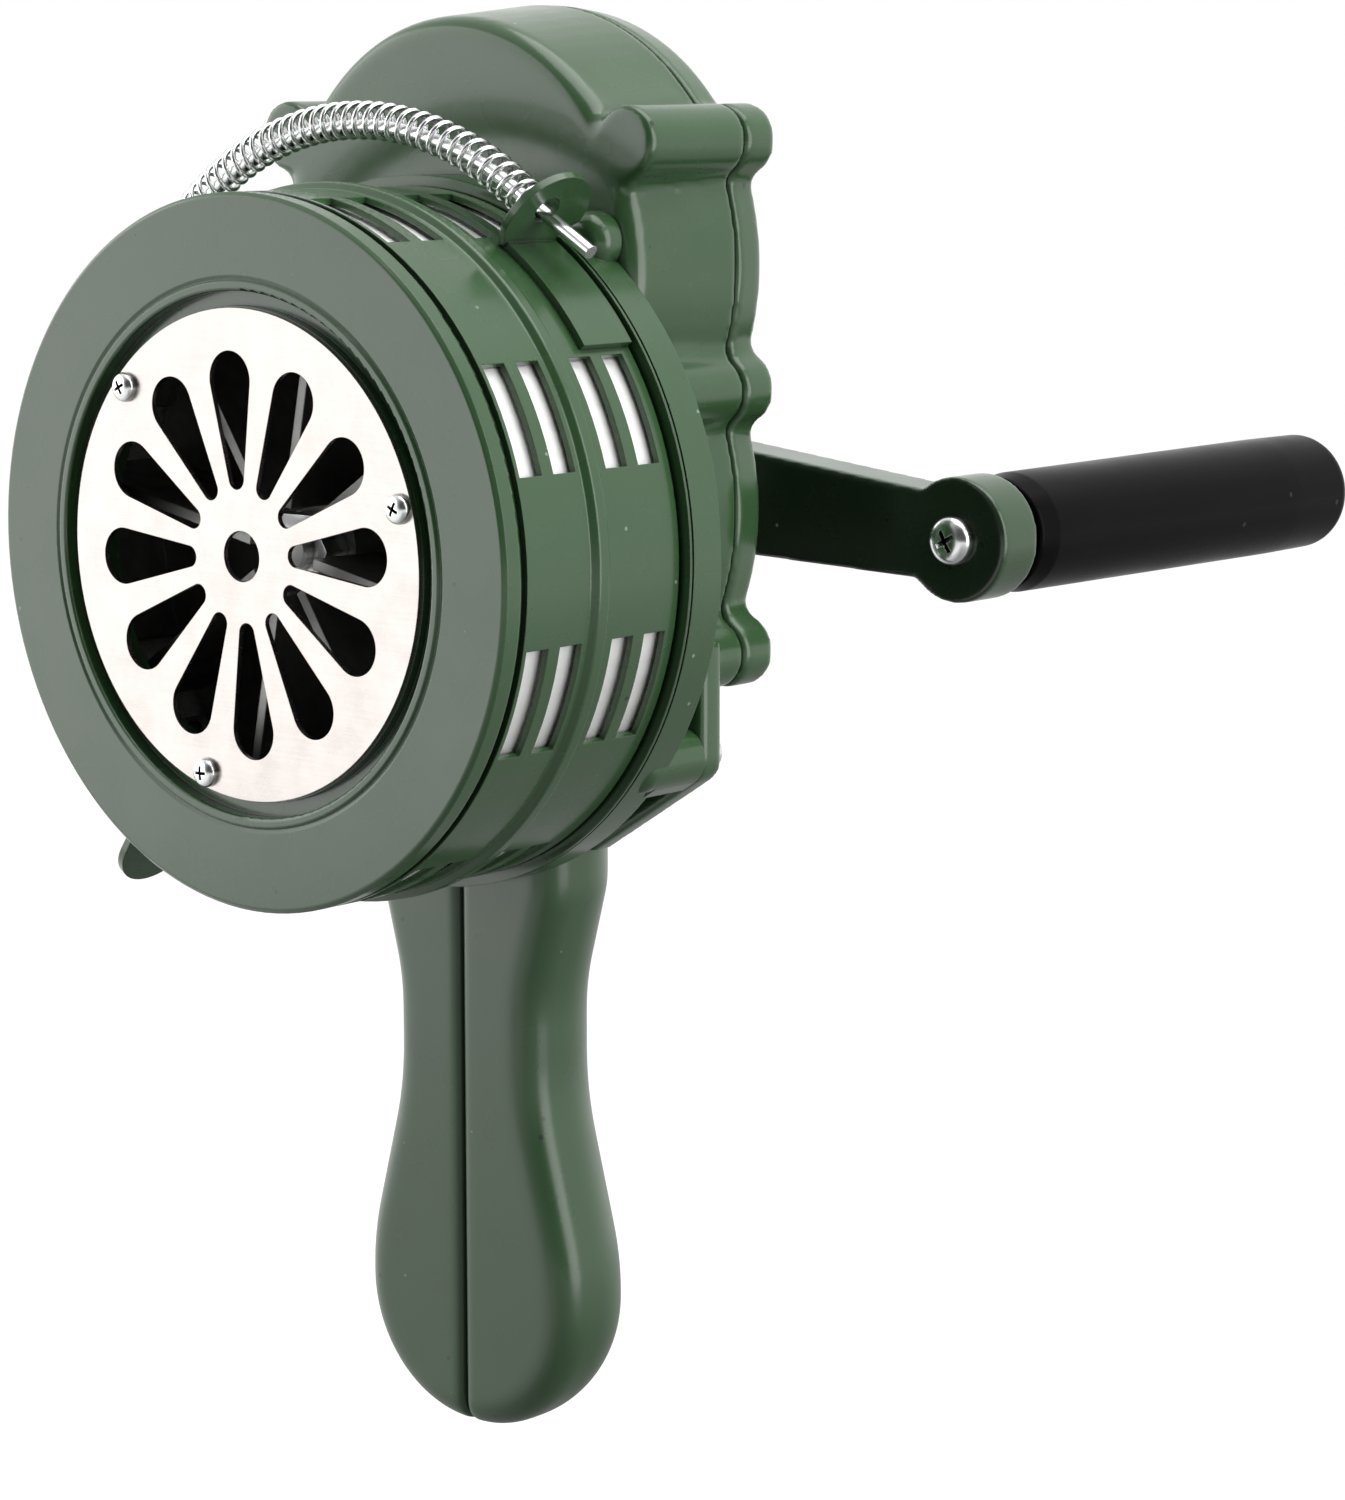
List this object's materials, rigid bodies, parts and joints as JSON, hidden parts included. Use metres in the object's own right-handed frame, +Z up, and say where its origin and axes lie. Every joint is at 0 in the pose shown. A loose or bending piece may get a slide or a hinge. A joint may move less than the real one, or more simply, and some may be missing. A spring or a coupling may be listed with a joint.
{
  "type": "hand crank siren",
  "caption": "Hand-held siren: a vaned rotor in a slotted drum with a sprung shutter, driven by a crank through a gearbox above a pistol handle.",
  "frame": {"origin": "centre of the intake face, on the drum's axis", "axes": "+Y along the drum's axis towards the crank, +Z up the gearbox, away from the handle, +X towards the crank's grip at rest"},
  "size_m": [0.1582, 0.2375, 0.28],
  "materials": {
    "green_paint": "satin green paint on cast aluminium",
    "green_handle": "satin green paint on cast aluminium",
    "polished_steel": "polished sheet with fine grain",
    "zinc_steel": "bright zinc plate",
    "bright_aluminium": "bright tube",
    "cast_aluminium": "raw casting",
    "plain_steel": "ground",
    "gear_steel": "cut teeth, oiled",
    "bronze": "sintered",
    "crank_paint": "dark paint over green on cast aluminium",
    "black_plastic": "satin black moulding"
  },
  "bodies": {
    "frame": {"front_ring": "green_paint", "intake_grille": "polished_steel", "grille_screws": "zinc_steel", "stator_drum": "bright_aluminium", "stop_pin": "plain_steel", "drum_flange": "green_paint", "rod_anchor": "green_paint", "guide_rod": "zinc_steel", "rod_nut": "zinc_steel", "shutter_spring": "zinc_steel", "front_bearing": "plain_steel", "rear_bearing": "plain_steel", "front_bush": "bronze", "rear_bush": "bronze", "crank_bush": "bronze", "gearbox_case": "green_paint", "gearbox_cover": "green_paint", "handle_left": "green_handle", "handle_right": "green_handle", "upper_flange_screws": "zinc_steel", "lower_flange_screws": "zinc_steel", "cover_screws": "zinc_steel", "handle_screws": "zinc_steel"},
    "shutter": {"shutter_sleeve": "green_paint", "shutter_bracket": "green_paint", "finger_tab": "green_paint"},
    "crank": {"crank_arm": "crank_paint", "crank_shaft": "plain_steel", "crank_gear": "gear_steel", "crank_screw": "zinc_steel", "crank_washer": "zinc_steel", "grip_spindle": "zinc_steel", "grip_washer": "black_plastic", "grip_nut": "zinc_steel"},
    "grip_sleeve": {"grip": "black_plastic"},
    "cluster": {"cluster_shaft": "plain_steel", "cluster_gear": "gear_steel", "cluster_pinion": "gear_steel"},
    "impeller": {"rotor": "cast_aluminium", "rotor_shaft": "plain_steel", "rotor_nut": "zinc_steel", "rotor_pinion": "gear_steel"}
  },
  "joints": [
    {"name": "crank_turn", "type": "hinge", "parent": "frame", "child": "crank", "pos_m": [0, 0.1, 0.0045], "axis": [0, 1, 0], "continuous": true},
    {"name": "grip_turn", "type": "hinge", "parent": "crank", "child": "grip_sleeve", "pos_m": [0.07791, 0.181, -0.00095], "axis": [0, 1, 0], "continuous": true},
    {"name": "cluster_turn", "type": "hinge", "parent": "frame", "child": "cluster", "pos_m": [0, 0.07, 0.051], "axis": [0, 1, 0], "continuous": true},
    {"name": "rotor_turn", "type": "hinge", "parent": "frame", "child": "impeller", "pos_m": [0, 0.03, 0], "axis": [0, 1, 0], "continuous": true},
    {"name": "shutter_turn", "type": "hinge", "parent": "frame", "child": "shutter", "pos_m": [0, 0.025, 0], "axis": [0, 1, 0], "range_deg": [-22.5, 0], "stiffness_Nm_per_rad": 0.9, "springref_deg": 24.64, "deforming": ["shutter_spring"]}
  ],
  "couplings": [
    {"joint": "cluster_turn", "follows": "crank_turn", "ratio": -4.1667},
    {"joint": "rotor_turn", "follows": "crank_turn", "ratio": 16.071}
  ]
}
